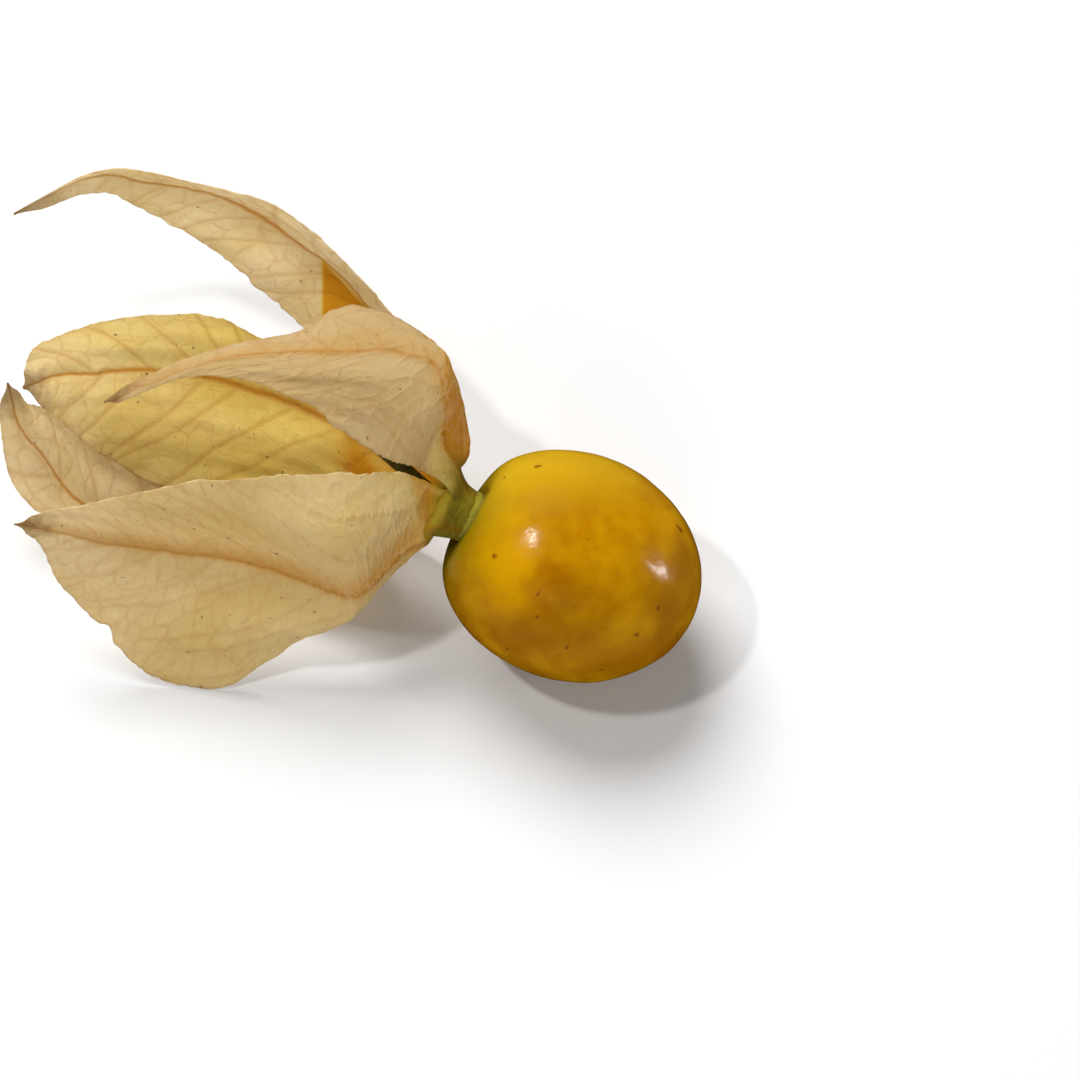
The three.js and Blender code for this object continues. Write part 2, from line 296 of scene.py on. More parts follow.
# ---- meshes ----
def shell(name, grid, thickness):
    """A thin closed sheet: the grid's two faces and its rim."""
    rows, columns = grid.shape[:2]
    normals = grid_normals(grid)
    half = normals * thickness / 2
    points = np.concatenate([(grid + half).reshape(-1, 3), (grid - half).reshape(-1, 3)]) / MM
    number = np.arange(rows * columns).reshape(rows, columns)
    cells = np.stack([number[:-1, :-1], number[:-1, 1:], number[1:, 1:], number[1:, :-1]], -1)
    cells = cells.reshape(-1, 4)
    under = cells[:, ::-1] + rows * columns
    border = np.concatenate([
        number[0, :-1], number[:-1, -1], number[-1, :0:-1], number[:0:-1, 0],
    ])
    ahead = np.roll(border, -1)
    rim = np.stack([ahead, border, border + rows * columns, ahead + rows * columns], -1)
    quads = np.concatenate([cells, under, rim])
    mesh = bpy.data.meshes.new(name)
    mesh.vertices.add(len(points))
    mesh.vertices.foreach_set("co", points.ravel())
    mesh.loops.add(quads.size)
    mesh.loops.foreach_set("vertex_index", quads.ravel())
    mesh.polygons.add(len(quads))
    mesh.polygons.foreach_set("loop_start", np.arange(0, quads.size, 4))
    mesh.polygons.foreach_set("use_smooth", np.ones(len(quads), bool))
    mesh.update()
    mesh.validate()
    return made(name, mesh)


def made(name, mesh):
    piece = bpy.data.objects.new(name, mesh)
    bpy.context.scene.collection.objects.link(piece)
    return piece


def store(piece, name, values):
    """Keeps one number for each point of a mesh, for its material to read."""
    attribute = piece.data.attributes.new(name, "FLOAT", "POINT")
    attribute.data.foreach_set("value", np.asarray(values, np.float32).ravel())


def store_both(piece, name, values):
    """Keeps one number for each point of a sheet's grid, on both of its faces."""
    store(piece, name, np.tile(values.reshape(-1), 2))


# ---- patterns, all seeded ----
def noise(x, y, seed):
    """Smooth noise between -1 and 1, with about one bump to a unit."""
    size = 97
    table = np.random.default_rng(seed).uniform(-1, 1, (size, size))
    column, row = np.floor(x).astype(int), np.floor(y).astype(int)
    tx, ty = x - column, y - row
    tx, ty = tx * tx * (3 - 2 * tx), ty * ty * (3 - 2 * ty)
    corner = [[table[(row + j) % size, (column + i) % size] for i in (0, 1)] for j in (0, 1)]
    low = corner[0][0] * (1 - tx) + corner[0][1] * tx
    high = corner[1][0] * (1 - tx) + corner[1][1] * tx
    return low * (1 - ty) + high * ty


def rough(x, y, seed, octaves=3):
    """Noise with finer and fainter noise on top."""
    return sum(noise(x * 2 ** k, y * 2 ** k, seed + k) / 2 ** k for k in range(octaves))


def network(x, y, seed):
    """Distance to the borders of irregular cells of about one unit."""
    size = 89
    shifts = np.random.default_rng(seed).uniform(0.08, 0.92, (size, size, 2))
    column, row = np.floor(x).astype(int), np.floor(y).astype(int)
    near = np.full(x.shape, 9.0)
    second = np.full(x.shape, 9.0)
    for j in (-1, 0, 1):
        for i in (-1, 0, 1):
            centre = shifts[(row + j) % size, (column + i) % size]
            gap = np.hypot(column + i + centre[..., 0] - x, row + j + centre[..., 1] - y)
            second = np.minimum(second, np.maximum(near, gap))
            near = np.minimum(near, gap)
    return (second - near) / 2


def ramp(value, low, high):
    """0 below low, 1 above high, and smooth between. low may be the larger one."""
    t = np.clip((value - low) / (high - low), 0, 1)
    return t * t * (3 - 2 * t)


# ---- husk ----
def flat_places(grid):
    """Where each point would lie if the sheet were spread flat: mm along it, and mm across from
    its midrib."""
    middle = grid.shape[1] // 2
    steps = np.linalg.norm(np.diff(grid[:, middle], axis=0), axis=1)
    along = np.concatenate([[0], np.cumsum(steps)])[:, None] * np.ones(grid.shape[1])
    steps = np.linalg.norm(np.diff(grid, axis=1), axis=2)
    across = np.concatenate([np.zeros((len(grid), 1)), np.cumsum(steps, axis=1)], axis=1)
    return along, across - across[:, middle:middle + 1]


def side_veins(along, across, seed, length):
    """How near each point is to the nearest of the veins that leave the midrib, in mm."""
    random = np.random.default_rng(seed)
    nearest = np.full(along.shape, 9.0)
    for side in (-1, 1):
        reach = across * side
        start = random.uniform(1.0, 3.0)
        while start < length * 0.86:
            lean = random.uniform(0.8, 1.25)
            bend = random.uniform(0.02, 0.06)
            wander = 0.5 * noise(reach * 0.35 + start, reach * 0 + seed, seed + 7)
            path = start + lean * reach + bend * reach ** 2 + wander
            gap = np.abs(along - path) / np.sqrt(1 + lean ** 2)
            gap = np.where(reach > -0.2, gap, 9.0)
            nearest = np.minimum(nearest, gap)
            start += random.uniform(3.0, 5.2)
    return nearest


def ring_angles(points):
    """The angle of points round the neck's axis, in radians from straight up."""
    offset = points - berry_centre
    return np.arctan2(offset @ neck_side, offset @ neck_up)


def ring_points(angles, along, radius):
    """Points at those angles round the neck's axis."""
    direction = np.cos(angles)[:, None] * neck_up + np.sin(angles)[:, None] * neck_side
    return berry_centre + along * neck_axis + radius * direction


def rooted(grids):
    """Adds two rows to each sheet that reach down the outside of the neck, and spreads the sheets'
    feet so that they close the ring."""
    spans = {}
    for name, grid in grids.items():
        angles = np.unwrap(ring_angles(grid[0]))
        turn = 2 * np.pi * math.floor(angles.mean() / (2 * np.pi))
        spans[name] = np.sort(angles[[0, -1]] - turn)
    order = sorted(spans, key=lambda name: spans[name].mean())
    feet = {}
    for k, name in enumerate(order):
        grid, own = grids[name], spans[name]
        before, after = spans[order[k - 1]], spans[order[(k + 1) % len(order)]]
        gap_before = (own[0] - before[1]) % (2 * np.pi)
        gap_after = (after[0] - own[1]) % (2 * np.pi)
        first = own[0] - gap_before / 2 - FOOT_OVERLAP
        last = own[1] + gap_after / 2 + FOOT_OVERLAP
        angles = np.linspace(first, last, grid.shape[1])
        found = np.unwrap(ring_angles(grid[0]))
        if found[-1] < found[0]:
            angles = angles[::-1]
        along, aside = along_neck(grid[0])
        foot = np.array([
            ring_points(angles, neck_top - FOOT_END, WAIST_RADIUS),
            ring_points(angles, neck_top - FOOT_BEND, WAIST_RADIUS + FOOT_FLARE),
            ring_points(angles, along.mean(), aside.mean()),
        ])
        feet[name] = np.concatenate([foot, grid[1:]])
    return feet


def sepal(name, grid, seed):
    """One sepal as a thin closed sheet, with the values that its material reads."""
    style = STYLES[name]
    grid = torn_edges(name, refined(grid, ROWS, COLUMNS), seed)
    along, across = flat_places(grid)
    u = np.linspace(0, 1, ROWS)[:, None] * np.ones(COLUMNS)

    bent = across + 0.35 * noise(along * 0.22, along * 0 + 3, seed + 1)
    midrib = np.abs(bent)
    sides = side_veins(along, across, seed + 2, along.max())
    net_along, net_across = style["net"]
    wx = along * net_along + 0.35 * rough(along * 0.3, across * 0.3, seed + 3)
    wy = across * net_across + 0.35 * rough(across * 0.3, along * 0.3, seed + 4)
    coarse = network(wx, wy, seed + 5)
    fine = network(wx * FINE_NET_SCALE + 5, wy * FINE_NET_SCALE + 5, seed + 6)

    relief = BUCKLES * rough(along * 0.13, across * 0.16, seed + 8, 2)
    relief += CREASES * noise(along * 0.12, across * 1.1, seed + 9)
    relief += CRINKLE * rough(along * 0.6, across * 0.7, seed + 10, 3)
    relief += MIDRIB_HEIGHT * np.exp(-(midrib / MIDRIB_WIDTH) ** 2)
    if name == "sepal_front":
        relief += FRONT_FOLD_HEIGHT * np.exp(-(midrib / FRONT_FOLD_WIDTH) ** 2)
    relief += SIDE_VEIN_HEIGHT * np.exp(-(sides / SIDE_VEIN_WIDTH) ** 2)
    relief -= COARSE_NET_HEIGHT * ramp(coarse, 0.0, 0.25)
    relief -= FINE_NET_HEIGHT * ramp(fine, 0.0, 0.25)
    width = (across.max(1) - across.min(1))[:, None]
    relief *= ramp(width, 0.5, 5.0) * ramp(u, 0.0, 0.1)  # none at the tip or the neck
    grid = grid + grid_normals(grid) * relief[..., None]
    grid[..., 2] = np.maximum(grid[..., 2], SHEET_THICKNESS)

    piece = shell(name + "_sheet", grid, SHEET_THICKNESS)
    rib_width = 0.10 + 0.22 * style["midrib"] * (1 - u)
    store_both(piece, "midrib", np.exp(-(midrib / rib_width) ** 2))
    # the golden band along the fold: partly the rib's own colour, partly painted shade in the
    # crease
    fold = style["fold"] * (1.25 - 0.8 * u) * ramp(u, 0.12, 0.22)
    band = np.where(bent > 0, 1.5, 0.5) * (0.5 + 1.1 * (1 - u))  # broader on one side
    store_both(piece, "fold", fold * np.exp(-(midrib / band) ** 2))
    store_both(piece, "sides", np.exp(-(sides / SIDE_VEIN_WIDTH) ** 2))
    store_both(piece, "coarse", ramp(coarse, 0.09, 0.0))
    store_both(piece, "fine", ramp(fine, 0.12, 0.0))
    store_both(piece, "along", u)
    v = np.linspace(-1, 1, COLUMNS)[None, :] * np.ones((ROWS, 1))
    golden = gilding_and_shade(name, grid, u, v, u + 0.08 * noise(along * 0.2, across * 0.3, seed))
    store_both(piece, "gold", np.clip(golden, 0, 1.4))
    # painted shade: the style's share of darkening, kept off the golden parts
    store_both(piece, "painted_shade", style["painted_shade"] * ramp(golden, 1.0, 0.5))
    store_both(piece, "streak", noise(v * 22, u * 5 + seed, seed + 12))
    to_edges = (across.max(1, keepdims=True) - across, across - across.min(1, keepdims=True))
    store_both(piece, "margin", np.minimum(*to_edges))
    store(piece, "inside", np.repeat([0.0, 1.0], u.size))
    flat = np.stack([along, across, np.full(along.shape, seed * 1.7)], -1).reshape(-1, 3)
    attribute = piece.data.attributes.new("flat", "FLOAT_VECTOR", "POINT")
    attribute.data.foreach_set("vector", np.tile(flat, (2, 1)).astype(np.float32).ravel())
    return piece


def gilding_and_shade(name, grid, u, v, patchy):
    """How golden each point of a sheet is: golden at its base, and where the photo shows gold.
    On the top sepal's turned strip, under the top sepal on the far sepal and in the back sepal's
    pleat, that gold is painted shade.

    u and v run along and across the sheet, and patchy is u with an uneven front."""
    golden = STYLES[name]["gold"] * ramp(patchy, 1.0, 0.5) + 0.8 * ramp(patchy, 0.34, 0.16)
    if name == "sepal_top":  # the strip that turns to the side
        # painted shade: deep gold on the strip that turns to the side
        turned = np.abs(grid_normals(grid)[..., 0])
        golden += ramp(turned, 0.45, 0.65) * ramp(v, -0.1, 0.1) * ramp(patchy, 0.6, 0.45)
    if name == "sepal_far":
        # painted shade: deeper gold near the foot, under the top sepal
        golden += 0.6 * ramp(patchy, 0.38, 0.26)
    if name == "sepal_front":
        golden += ramp(v, -0.4, -0.7) * ramp(patchy, 0.34, 0.26)
    if name == "sepal_back":
        # painted shade: deep gold in the pleat at the foot, placed as the camera sees it
        offset = grid - berry_centre
        right = offset[..., 0]
        upward = math.sin(VIEW_LIFT) * offset[..., 1] + math.cos(VIEW_LIFT) * offset[..., 2]
        pleat_shade = ramp(right, *PATCH_LEFT) * ramp(right + PATCH_SLOPE * upward, *PATCH_TOP)
        golden += PATCH_STRENGTH * pleat_shade
    return golden


def torn_edges(name, grid, seed):
    """Moves a sheet's two long edges in and out a little, as torn paper has them."""
    rows, columns = grid.shape[:2]
    u = np.linspace(0, 1, rows)
    width = np.linalg.norm(np.diff(grid, axis=1), axis=2).sum(1)
    place = u * 45.0  # in units of the tears' pattern
    inward = []
    for side in (0, 1):
        tear = 0.20 * rough(place * 0.35, place * 0 + side, seed + 20 + side, 4)
        tear += 0.10 * np.abs(noise(place * 2.3, place * 0 + side, seed + 30 + side))
        edge = grid[:, -side]
        if name == "sepal_front" and edge[:, 1].mean() < grid[:, columns // 2, 1].mean():
            left = berry_centre[0] - edge[:, 0]
            for middle, reach, depth in FRONT_EDGE_MARKS:
                tear += depth * np.exp(-((left - middle) / reach) ** 2)
        tear = np.clip(tear, -0.9, 0.8)
        tear = tear / np.maximum(width, 2.0) * ramp(u, 0.14, 0.3) * ramp(u, 1.0, 0.93)
        inward.append(tear + 0.40 * ramp(u, 0.965, 1.0))  # and narrows the sheet to its tip
    low, high = inward[0][:, None], 1 - inward[1][:, None]
    want = (low + (high - low) * np.linspace(0, 1, columns)) * (columns - 1)
    k = np.clip(np.floor(want).astype(int), 0, columns - 2)
    t = (want - k)[..., None]
    row = np.arange(rows)[:, None]
    return grid[row, k] * (1 - t) + grid[row, k + 1] * t


# ---- berry ----
def smooth_node(node):
    """A CAD node's surface, smoothed by subdivision, to cast rays at."""
    points, triangles = corners_and_triangles(node)
    mesh = bpy.data.meshes.new("smoothed")
    mesh.from_pydata(points.tolist(), [], triangles.tolist())
    work = bmesh.new()
    work.from_mesh(mesh)
    bmesh.ops.join_triangles(
        work, faces=work.faces, angle_face_threshold=0.5, angle_shape_threshold=0.8
    )
    work.to_mesh(mesh)
    work.free()
    carrier = made("smoothed", mesh)
    rounding = carrier.modifiers.new("round", "SUBSURF")
    rounding.levels = 2
    tree = BVHTree.FromObject(carrier, bpy.context.evaluated_depsgraph_get())
    bpy.data.objects.remove(carrier)
    bpy.data.meshes.remove(mesh)
    return tree


def berry():
    """A fine ball cast onto the CAD berry's smoothed surface, with a few soft lumps."""
    skin = smooth_node("berry")
    work = bmesh.new()
    bmesh.ops.create_icosphere(work, subdivisions=6, radius=1.0)
    centre = Vector(berry_centre)
    for corner in work.verts:
        corner.co = skin.ray_cast(centre, corner.co.normalized())[0]
    for _ in range(SMOOTHING_ROUNDS):
        bmesh.ops.smooth_vert(work, verts=work.verts, factor=0.5, use_axis_x=True,
                              use_axis_y=True, use_axis_z=True)
    for corner in work.verts:
        direction = (corner.co - centre).normalized()
        lumps = sum(
            height * blobs.noise(corner.co * scale + Vector(start))
            for height, scale, start in LUMPS
        )
        corner.co += direction * (SMOOTHING_LOSS + lumps)
        corner.co.z = max(corner.co.z, 0.0)
        corner.co /= MM
    mesh = bpy.data.meshes.new("berry_skin")
    work.to_mesh(mesh)
    work.free()
    mesh.polygons.foreach_set("use_smooth", np.ones(len(mesh.polygons), bool))
    piece = made("berry_skin", mesh)
    points = np.empty(len(mesh.vertices) * 3)
    mesh.vertices.foreach_get("co", points)
    points = points.reshape(-1, 3) * MM
    along, aside = along_neck(points)
    store(piece, "reach", along / neck_low)
    store(piece, "aside", aside)
    outward = points - berry_centre
    outward /= np.linalg.norm(outward, axis=1, keepdims=True)
    # how far each point faces the side of the painted light
    store(piece, "upward", outward @ unit(np.array(PAINTED_LIGHT_SIDE)))
    return piece


# ---- neck and stem ----
def tube(name, rings):
    """A closed tube through rings of points, with a cap at each end."""
    points = rings.reshape(-1, 3) / MM
    number = np.arange(len(points)).reshape(rings.shape[:2])
    ahead = np.roll(number, -1, axis=1)
    sides = np.stack([number[:-1], ahead[:-1], ahead[1:], number[1:]], -1).reshape(-1, 4)
    mesh = bpy.data.meshes.new(name)
    ends = [number[0][::-1].tolist(), number[-1].tolist()]
    mesh.from_pydata(points.tolist(), [], sides.tolist() + ends)
    mesh.polygons.foreach_set("use_smooth", np.ones(len(mesh.polygons), bool))
    piece = made(name, mesh)
    store(piece, "along", np.repeat(np.linspace(0, 1, len(rings)), rings.shape[1]))
    return piece


def neck():
    """The collar, its lip against the berry, the waist, the flare and the cup at the top."""
    collar = neck_collar
    profile = np.array([
        [neck_low - 0.5, collar * 0.80],
        [neck_low - 0.1, collar * 0.98],
        [neck_low + 0.30, collar * 1.04],
        [neck_low + 0.70, collar * 1.00],
        [neck_low + 1.05, collar * 0.89],
        [neck_low + 1.6, WAIST_RADIUS],
        [neck_top - 1.6, WAIST_RADIUS],
        [neck_top - 0.6, WAIST_RADIUS + 0.25],
        [neck_top + 0.15, neck_rim * 0.98],
        [neck_top + 0.15, neck_rim * 0.88],
        [neck_top - 0.3, neck_rim * 0.70],
        [neck_top - 0.7, neck_rim * 0.45],
        [neck_top - 0.8, neck_rim * 0.12],
    ])
    smooth = cubic(profile, 90)
    turn = np.linspace(0, 2 * np.pi, 120, endpoint=False)
    rings = []
    for along, radius in smooth:
        ribs = 1 + 0.025 * np.cos(10 * turn + 0.4) * ramp(along, neck_low + 0.3, neck_low + 1.4)
        ribs += 0.012 * noise(turn * 6, turn * 0 + along * 0.8, 3)
        rings.append(berry_centre + along * neck_axis + (radius * ribs)[:, None] * (
            np.cos(turn)[:, None] * neck_side + np.sin(turn)[:, None] * neck_up
        ))
    return tube("neck_skin", np.array(rings))


def stem():
    """The stalk, ridged along its length, along the middle of its CAD solid."""
    points, _ = corners_and_triangles("stem")
    along, _ = along_neck(points)
    part = ((along - along.min()) / np.ptp(along) * STEM_PARTS).astype(int)
    part = np.minimum(part, STEM_PARTS - 1)
    middle = np.array([points[part == k].mean(0) for k in range(STEM_PARTS)])
    start = middle[0] - unit(middle[1] - middle[0]) * STEM_ROOT
    path = cubic(np.concatenate([start[None], middle]), 60)
    heading = np.gradient(path, axis=0)
    heading /= np.linalg.norm(heading, axis=1, keepdims=True)
    aside = np.cross(heading, neck_up)
    aside /= np.linalg.norm(aside, axis=1, keepdims=True)
    above = np.cross(aside, heading)
    turn = np.linspace(0, 2 * np.pi, 40, endpoint=False)
    rings = []
    for k, place in enumerate(path):
        t = k / (len(path) - 1)
        radius = STEM_RADIUS * (1.25 - 0.25 * ramp(t, 0, 0.25) + 0.1 * ramp(t, 0.9, 1))
        edge = radius * (1 + 0.06 * np.cos(6 * turn) + 0.03 * noise(turn * 3, turn * 0 + t * 9, 5))
        rings.append(place + edge[:, None] * (
            np.cos(turn)[:, None] * aside[k] + np.sin(turn)[:, None] * above[k]
        ))
    return tube("stem_skin", np.array(rings))


# ---- materials ----
def srgb(red, green, blue):
    """A colour as seen on a screen, 0 to 255, as Blender's linear colour."""
    values = [c / 255 for c in (red, green, blue)]
    return tuple(c / 12.92 if c < 0.04045 else ((c + 0.055) / 1.055) ** 2.4 for c in values) + (1,)


class Nodes:
    """A material's node tree, built by short calls. Their values may be sockets or constants."""

    def __init__(self, name):
        self.material = bpy.data.materials.new(name)
        self.material.use_nodes = True
        self.tree = self.material.node_tree
        self.tree.nodes.clear()
        self.output = self.tree.nodes.new("ShaderNodeOutputMaterial")

    def add(self, kind, **inputs):
        node = self.tree.nodes.new("ShaderNode" + kind)
        for key, value in inputs.items():
            self.feed(node.inputs[key.replace("_", " ")], value)
        return node

    def feed(self, socket, value):
        if isinstance(value, bpy.types.NodeSocket):
            self.tree.links.new(value, socket)
        else:
            socket.default_value = value

    def value(self, name):
        node = self.tree.nodes.new("ShaderNodeAttribute")
        node.attribute_name = name
        return node.outputs["Fac"]

    def vector(self, name):
        node = self.tree.nodes.new("ShaderNodeAttribute")
        node.attribute_name = name
        return node.outputs["Vector"]

    def maths(self, operation, first, second=0.0, third=0.0, clamp=False):
        node = self.tree.nodes.new("ShaderNodeMath")
        node.operation = operation
        node.use_clamp = clamp
        for socket, value in zip(node.inputs, (first, second, third)):
            self.feed(socket, value)
        return node.outputs[0]

    def mix(self, amount, first, second):
        node = self.tree.nodes.new("ShaderNodeMix")
        node.data_type = "RGBA"
        self.feed(node.inputs[0], amount)
        self.feed(node.inputs[6], first)
        self.feed(node.inputs[7], second)
        return node.outputs[2]

    def spread(self, value, low, high, to_low=0.0, to_high=1.0):
        node = self.tree.nodes.new("ShaderNodeMapRange")
        node.interpolation_type = "SMOOTHSTEP"
        for socket, amount in zip(node.inputs, (value, low, high, to_low, to_high)):
            self.feed(socket, amount)
        return node.outputs[0]

    def noise(self, vector, scale, detail=3.0, roughness=0.5):
        node = self.add("TexNoise", Vector=vector, Scale=scale, Detail=detail)
        node.inputs["Roughness"].default_value = roughness
        return node.outputs["Fac"]

    def place(self):
        return self.tree.nodes.new("ShaderNodeTexCoord").outputs["Object"]

    def bump(self, height, distance):
        node = self.add("Bump", Height=height, Distance=distance, Strength=1.0)
        return node.outputs["Normal"]

    def finish(self, surface):
        self.tree.links.new(surface, self.output.inputs["Surface"])
        return self.material


def husk_material():
    """Pale paper that lets light through, golden in places and in part as painted shade, with
    veins, specks and a brown tip, painted shade on the top sepal and a painted highlight on the
    raised net.
    """
    n = Nodes("husk_paper")
    flat = n.vector("flat")
    along, inside = n.value("along"), n.value("inside")
    broad = n.noise(flat, 0.16, 4.0)
    mottle = n.noise(flat, 0.9, 5.0, 0.6)
    fibre_place = n.add("Mapping", Vector=flat, Scale=(0.7, 5.0, 1.0)).outputs[0]
    fibre = n.noise(fibre_place, 1.0, 4.0, 0.6)

    # the paper, from pale to deep gold, and green at the neck; part of the deep gold is painted
    # shade
    pale = n.mix(n.spread(broad, 0.35, 0.65), srgb(223, 200, 144), srgb(231, 212, 168))
    yellow = n.mix(n.spread(broad, 0.35, 0.65), srgb(222, 198, 90), srgb(229, 208, 108))
    lean = n.maths("MULTIPLY_ADD", inside, 0.45, 0.55)
    colour = n.mix(n.maths("MULTIPLY", n.value("gold"), lean), pale, yellow)
    deep = n.maths("SUBTRACT", n.value("gold"), 0.9)
    colour = n.mix(n.spread(deep, 0.0, 0.4), colour, srgb(212, 156, 6))
    rays = n.maths("MULTIPLY", n.spread(n.value("streak"), 0.1, 0.6), n.spread(along, 0.3, 0.08))
    colour = n.mix(n.maths("MULTIPLY", rays, 0.5), colour, srgb(232, 214, 150))
    colour = n.mix(n.spread(along, 0.19, 0.06), colour, srgb(164, 150, 40))
    colour = n.mix(n.spread(mottle, 0.5, 0.78, 0.0, 0.3), colour, srgb(206, 160, 84))
    # painted shade: darkens the top sepal's paper outside its golden parts
    colour = n.mix(n.value("painted_shade"), colour, srgb(170, 138, 92))
    # the veins, brown where they sink in, and a painted highlight where the net stands out
    rib = n.maths("MULTIPLY", n.value("midrib"), n.maths("MULTIPLY_ADD", inside, 0.45, 0.5))
    side = n.maths("MULTIPLY", n.value("sides"), n.maths("MULTIPLY_ADD", inside, 0.2, 0.2))
    net = n.maths("MULTIPLY", n.value("coarse"), n.maths("MULTIPLY_ADD", inside, 0.06, 0.24))
    net = n.maths("MAXIMUM", net, n.maths("MULTIPLY", n.value("fine"), 0.13))
    net = n.maths("MULTIPLY", net, n.maths("MULTIPLY_ADD", n.value("gold"), -0.6, 1.0))
    veins = n.maths("MAXIMUM", n.maths("MAXIMUM", rib, side), net)
    # the golden band along the fold: partly the rib's own colour, partly painted shade in the
    # crease
    fold = n.maths("MULTIPLY", n.value("fold"), 0.7, clamp=True)
    colour = n.mix(fold, colour, srgb(214, 156, 16))
    pattern = n.maths("MAXIMUM", n.value("coarse"), n.value("fine"))
    # painted highlight on the raised net, near the neck on the outer face, weaker under painted
    # shade
    net_highlight = n.maths("MULTIPLY", n.spread(along, 0.6, 0.35), n.spread(along, 0.14, 0.26))
    net_highlight = n.maths("MULTIPLY", net_highlight, n.maths("SUBTRACT", 0.36, inside))
    net_highlight = n.maths("MULTIPLY", net_highlight, n.maths("MULTIPLY_ADD", n.value("painted_shade"), -1.4, 1.0))
    net_highlight = n.maths("MULTIPLY", net_highlight, pattern, clamp=True)
    veins = n.maths("SUBTRACT", veins, net_highlight, clamp=True)
    colour = n.mix(veins, colour, srgb(190, 130, 18))
    colour = n.mix(net_highlight, colour, srgb(240, 226, 184))
    # brown tip and edges, and dark specks
    tip = n.maths("MULTIPLY_ADD", mottle, 0.12, along)
    colour = n.mix(n.spread(tip, 0.97, 1.06, 0.0, 0.8), colour, srgb(118, 78, 28))
    edge = n.maths("MULTIPLY", n.spread(n.value("margin"), 0.3, 0.0), n.spread(mottle, 0.4, 0.6))
    colour = n.mix(n.maths("MULTIPLY", edge, 0.35), colour, srgb(160, 112, 54))
    speck = n.noise(flat, 2.3, 1.0)
    colour = n.mix(n.spread(speck, 0.73, 0.77, 0.0, 0.85), colour, srgb(100, 60, 22))

    height = n.maths("ADD", n.maths("MULTIPLY", fibre, 0.4), n.maths("MULTIPLY", mottle, 0.4))
    height = n.maths("MULTIPLY_ADD", n.value("coarse"), 0.45, height)
    height = n.maths("MULTIPLY_ADD", n.value("fine"), 0.25, height)
    normal = n.bump(height, 0.00007)
    paper = n.add("BsdfPrincipled", Base_Color=colour, Roughness=0.62, Normal=normal)
    paper.inputs["Specular IOR Level"].default_value = 0.3
    # light that comes through is paler than the face, but not at the veins and the fold
    paleness = n.maths("MULTIPLY_ADD", n.value("gold"), -0.4, 0.7, clamp=True)
    paleness = n.maths("MULTIPLY", paleness, n.maths("MULTIPLY_ADD", veins, -0.6, 1.0))
    paleness = n.maths("MULTIPLY", paleness, n.maths("SUBTRACT", 1.0, fold), clamp=True)
    through = n.mix(paleness, colour, srgb(240, 231, 208))
    glow = n.add("BsdfTranslucent", Color=through, Normal=normal)
    both = n.add("MixShader", Fac=0.58)
    n.tree.links.new(paper.outputs[0], both.inputs[1])
    n.tree.links.new(glow.outputs[0], both.inputs[2])
    return n.finish(both.outputs[0])


def berry_material():
    """Glossy orange skin, clouded, greenish and darker by the neck, in part as painted shade, with
    painted light in yellow on its upper side and a painted shade ring round the collar.
    """
    n = Nodes("berry_skin")
    place = n.place()
    cloud = n.noise(place, 130.0, 4.0, 0.55)
    streaks = n.noise(place, 420.0, 3.0, 0.6)
    reach, aside = n.value("reach"), n.value("aside")
    colour = n.mix(n.spread(cloud, 0.35, 0.68), srgb(146, 92, 0), srgb(186, 134, 2))
    colour = n.mix(n.spread(streaks, 0.45, 0.75, 0.0, 0.35), colour, srgb(146, 84, 2))
    # greenish by the neck, and darker there as painted shade too
    green_and_shade = n.maths("MULTIPLY", n.spread(reach, 0.25, 0.95), n.spread(aside, 9.0, 2.5))
    colour = n.mix(green_and_shade, colour, srgb(114, 96, 2))
    # painted light: yellow on the upper side
    painted_light = n.spread(n.value("upward"), 0.35, 1.0)
    colour = n.mix(n.maths("MULTIPLY", painted_light, 0.6), colour, srgb(196, 160, 26))
    # painted shade: a dark ring on the berry in the gap round the collar
    ring = n.maths("MULTIPLY", n.spread(reach, 0.7, 0.85), n.spread(aside, 3.1, 2.5))
    colour = n.mix(n.maths("MULTIPLY", ring, 0.5), colour, srgb(110, 84, 4))
    speck = n.noise(place, 900.0, 0.0)
    colour = n.mix(n.spread(speck, 0.80, 0.83, 0.0, 0.8), colour, srgb(110, 60, 8))
    pores = n.noise(place, 900.0, 3.0)
    normal = n.bump(pores, 0.00004)
    skin = n.add("BsdfPrincipled", Base_Color=colour, Roughness=0.2, Normal=normal)
    skin.inputs["Specular IOR Level"].default_value = 0.2
    skin.inputs["Subsurface Weight"].default_value = 0.15
    skin.inputs["Subsurface Radius"].default_value = (1.0, 0.5, 0.1)
    skin.inputs["Subsurface Scale"].default_value = 0.0012
    return n.finish(skin.outputs[0])


def neck_material():
    n = Nodes("neck_green")
    along = n.value("along")
    cloud = n.noise(n.place(), 900.0, 4.0)
    colour = n.mix(n.spread(along, 0.12, 0.28), srgb(150, 142, 50), srgb(138, 126, 20))
    colour = n.mix(n.spread(along, 0.38, 0.62), colour, srgb(178, 158, 62))
    colour = n.mix(n.spread(cloud, 0.4, 0.7, 0.0, 0.5), colour, srgb(110, 100, 20))
    normal = n.bump(cloud, 0.0001)
    skin = n.add("BsdfPrincipled", Base_Color=colour, Roughness=0.45, Normal=normal)
    skin.inputs["Subsurface Weight"].default_value = 0.2
    skin.inputs["Subsurface Radius"].default_value = (1.0, 0.8, 0.2)
    skin.inputs["Subsurface Scale"].default_value = 0.001
    return n.finish(skin.outputs[0])


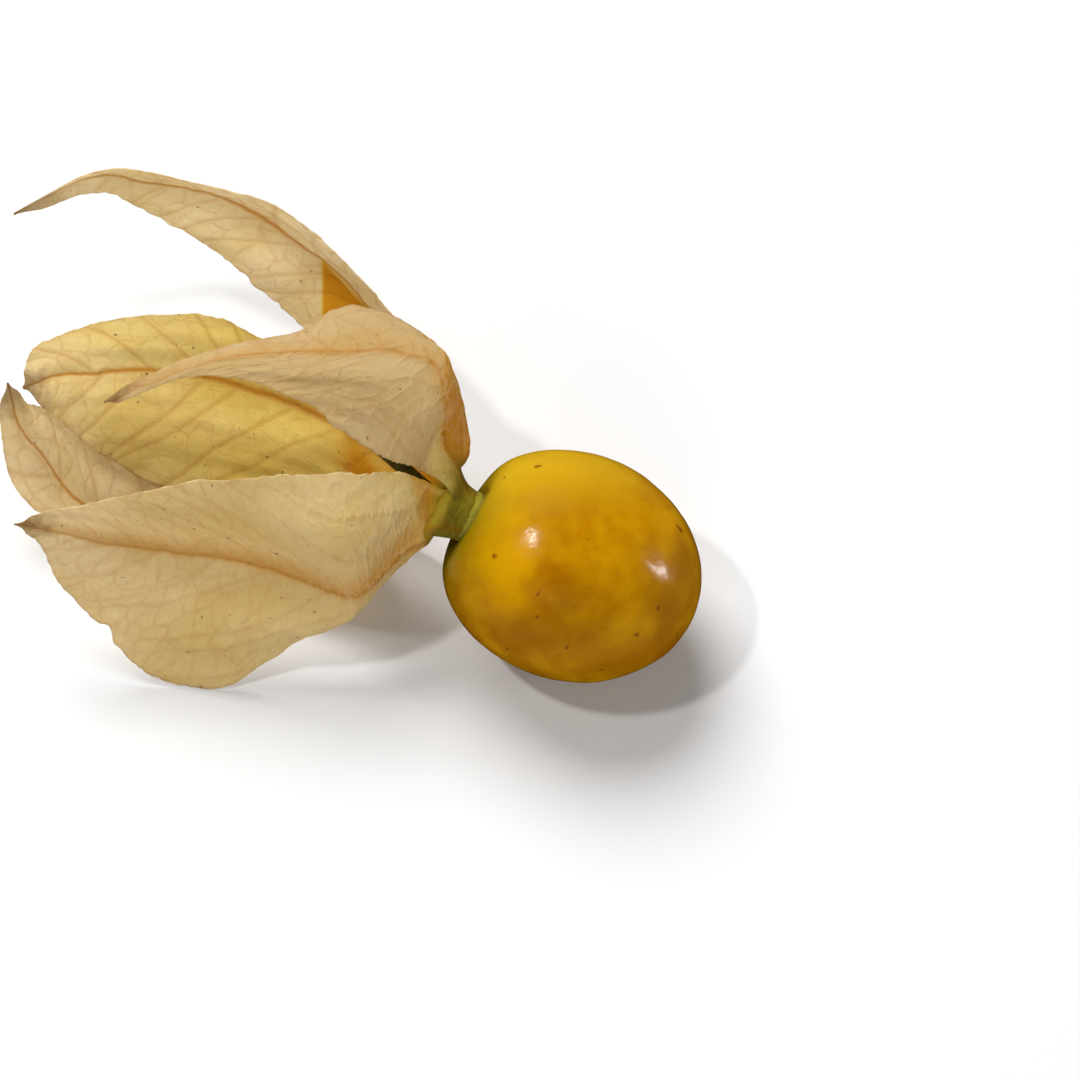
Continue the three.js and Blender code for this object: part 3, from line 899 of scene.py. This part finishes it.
def stem_material():
    n = Nodes("stem_green")
    cloud = n.noise(n.place(), 1400.0, 5.0)
    colour = n.mix(n.spread(cloud, 0.35, 0.7), srgb(46, 56, 18), srgb(86, 92, 30))
    colour = n.mix(n.spread(n.value("along"), 0.9, 1.0), colour, srgb(120, 104, 50))
    normal = n.bump(cloud, 0.0001)
    skin = n.add("BsdfPrincipled", Base_Color=colour, Roughness=0.6, Normal=normal)
    return n.finish(skin.outputs[0])


def floor_material():
    n = Nodes("pale_floor")
    grain = n.noise(n.place(), 40.0, 2.0)
    colour = n.mix(grain, (0.62, 0.62, 0.62, 1), (0.65, 0.65, 0.65, 1))
    return n.finish(n.add("BsdfPrincipled", Base_Color=colour, Roughness=0.9).outputs[0])


# ---- stage ----
def floor():
    mesh = bpy.data.meshes.new("floor")
    half = FLOOR_HALF
    corners = [(-half, -half, 0), (half, -half, 0), (half, half, 0), (-half, half, 0)]
    mesh.from_pydata(corners, [], [(0, 1, 2, 3)])
    ground = made("floor", mesh)
    mesh.materials.append(floor_material())
    ground.visible_glossy = False


def lights(centre):
    """Soft lights. Only the small ones show in the berry, as the photo has it."""
    for name, place, size, watts, reflected in LIGHTS:
        lamp = bpy.data.lights.new(name, "AREA")
        lamp.shape = "ELLIPSE"
        lamp.size, lamp.size_y = size
        lamp.energy = watts
        holder = bpy.data.objects.new(name, lamp)
        bpy.context.scene.collection.objects.link(holder)
        holder.location = centre + Vector(place)
        holder.rotation_euler = (-Vector(place)).to_track_quat("-Z", "Y").to_euler()
        holder.visible_glossy = reflected
    world = bpy.data.worlds.new("studio")
    world.use_nodes = True
    sky = world.node_tree.nodes["Background"]
    sky.inputs["Color"].default_value = (1, 1, 1, 1)
    sky.inputs["Strength"].default_value = SKY
    world.cycles_visibility.glossy = False
    bpy.context.scene.world = world
    bpy.context.scene.view_settings.view_transform = "Standard"


def camera(centre):
    """Looks down from the front."""
    lens = bpy.data.cameras.new("camera")
    lens.sensor_width = 36.0
    lens.lens = LENS
    lens.clip_start, lens.clip_end = 0.01, 10.0
    holder = bpy.data.objects.new("camera", lens)
    bpy.context.scene.collection.objects.link(holder)
    back = Vector((0, -math.cos(VIEW_LIFT), math.sin(VIEW_LIFT)))
    holder.location = centre + Vector(VIEW_AIM) + VIEW_DISTANCE * back
    holder.rotation_euler = (math.pi / 2 - VIEW_LIFT, 0, 0)
    bpy.context.scene.camera = holder


# ---- the object ----
def dress(piece, material, slot_name, *nodes):
    """Gives a piece its material, hangs it on the root and hides the CAD nodes it stands for."""
    piece.data.materials.append(material)
    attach(piece, "root")
    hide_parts(*nodes)


neck_up = unit(np.array([0, 0, 1]) - neck_axis[2] * neck_axis)
neck_side = np.cross(neck_axis, neck_up)
neck_along, neck_aside = along_neck(neck_points)
neck_low, neck_top = neck_along.min(), neck_along.max()
neck_collar = neck_aside[neck_along < (neck_low + neck_top) / 2].max()
neck_rim = neck_aside.max()

husk = husk_material()
sheets = rooted({name: oriented(middle_surface(name)) for name in STYLES})
for k, name in enumerate(STYLES):
    dress(sepal(name, sheets[name], SEED_STEP * (k + 1)), husk, "husk", name)
dress(berry(), berry_material(), "berry_skin", "berry")
dress(neck(), neck_material(), "calyx_green", "calyx_neck")
dress(stem(), stem_material(), "stem_green", "stem")

floor()
middle = Vector(berry_centre / MM)
lights(middle)
camera(middle)
